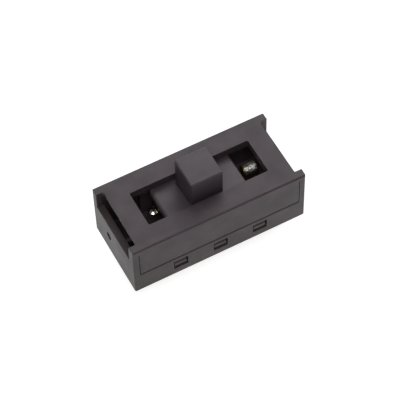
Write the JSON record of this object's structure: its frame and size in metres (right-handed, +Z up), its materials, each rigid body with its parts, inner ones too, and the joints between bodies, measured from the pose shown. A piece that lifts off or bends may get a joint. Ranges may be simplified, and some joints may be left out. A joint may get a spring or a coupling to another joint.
{
  "type": "slide switch",
  "caption": "Low rectangular slide switch: snap-together black moulded housing with end notches, square knob in a long top window, sliding contact bridges and solder tails below.",
  "frame": {"origin": "centre of the base's underside, where the solder tails leave the housing", "axes": "+X along the slide, +Y across it to the back, +Z up out of the top face through the knob"},
  "size_m": [0.028, 0.0128, 0.0174],
  "materials": {
    "housing_plastic": "fine spark-eroded black thermoplastic",
    "cover_plastic": "fine spark-eroded black thermoplastic",
    "slider_plastic": "fine spark-eroded black thermoplastic",
    "terminal_brass": "rolled strip, lightly tarnished",
    "contact_silver": "welded silver overlay, soft polish",
    "bridge_alloy": "silver-plated copper alloy, soft polish",
    "spring_steel": "drawn wire",
    "ball_steel": "ground and polished"
  },
  "bodies": {
    "housing": {"base_housing": "housing_plastic", "top_cover": "cover_plastic", "terminal_front_left": "terminal_brass", "terminal_front_centre": "terminal_brass", "terminal_front_right": "terminal_brass", "terminal_back_left": "terminal_brass", "terminal_back_centre": "terminal_brass", "terminal_back_right": "terminal_brass", "contact_tip_front_left": "contact_silver", "contact_tip_front_centre": "contact_silver", "contact_tip_front_right": "contact_silver", "contact_tip_back_left": "contact_silver", "contact_tip_back_centre": "contact_silver", "contact_tip_back_right": "contact_silver"},
    "slide": {"slider": "slider_plastic", "contact_bridge_front": "bridge_alloy", "contact_bridge_back": "bridge_alloy", "bridge_spring_front_left": "spring_steel", "bridge_spring_front_right": "spring_steel", "bridge_spring_back_left": "spring_steel", "bridge_spring_back_right": "spring_steel", "detent_spring": "spring_steel"},
    "ball_front": {"detent_ball_front": "ball_steel"},
    "ball_back": {"detent_ball_back": "ball_steel"}
  },
  "joints": [
    {"name": "slide_travel", "type": "slide", "parent": "housing", "child": "slide", "axis": [1, 0, 0], "range_m": [-0.0045, 0.0045]},
    {"name": "ball_front_snap", "type": "slide", "parent": "slide", "child": "ball_front", "axis": [0, -1, 0], "range_m": [0, 0.00025], "stiffness_N_per_m": 50, "springref_m": 0.00025, "deforming": ["detent_spring"]},
    {"name": "ball_back_snap", "type": "slide", "parent": "slide", "child": "ball_back", "axis": [0, 1, 0], "range_m": [0, 0.00025], "stiffness_N_per_m": 50, "springref_m": 0.00025, "deforming": ["detent_spring"]}
  ]
}
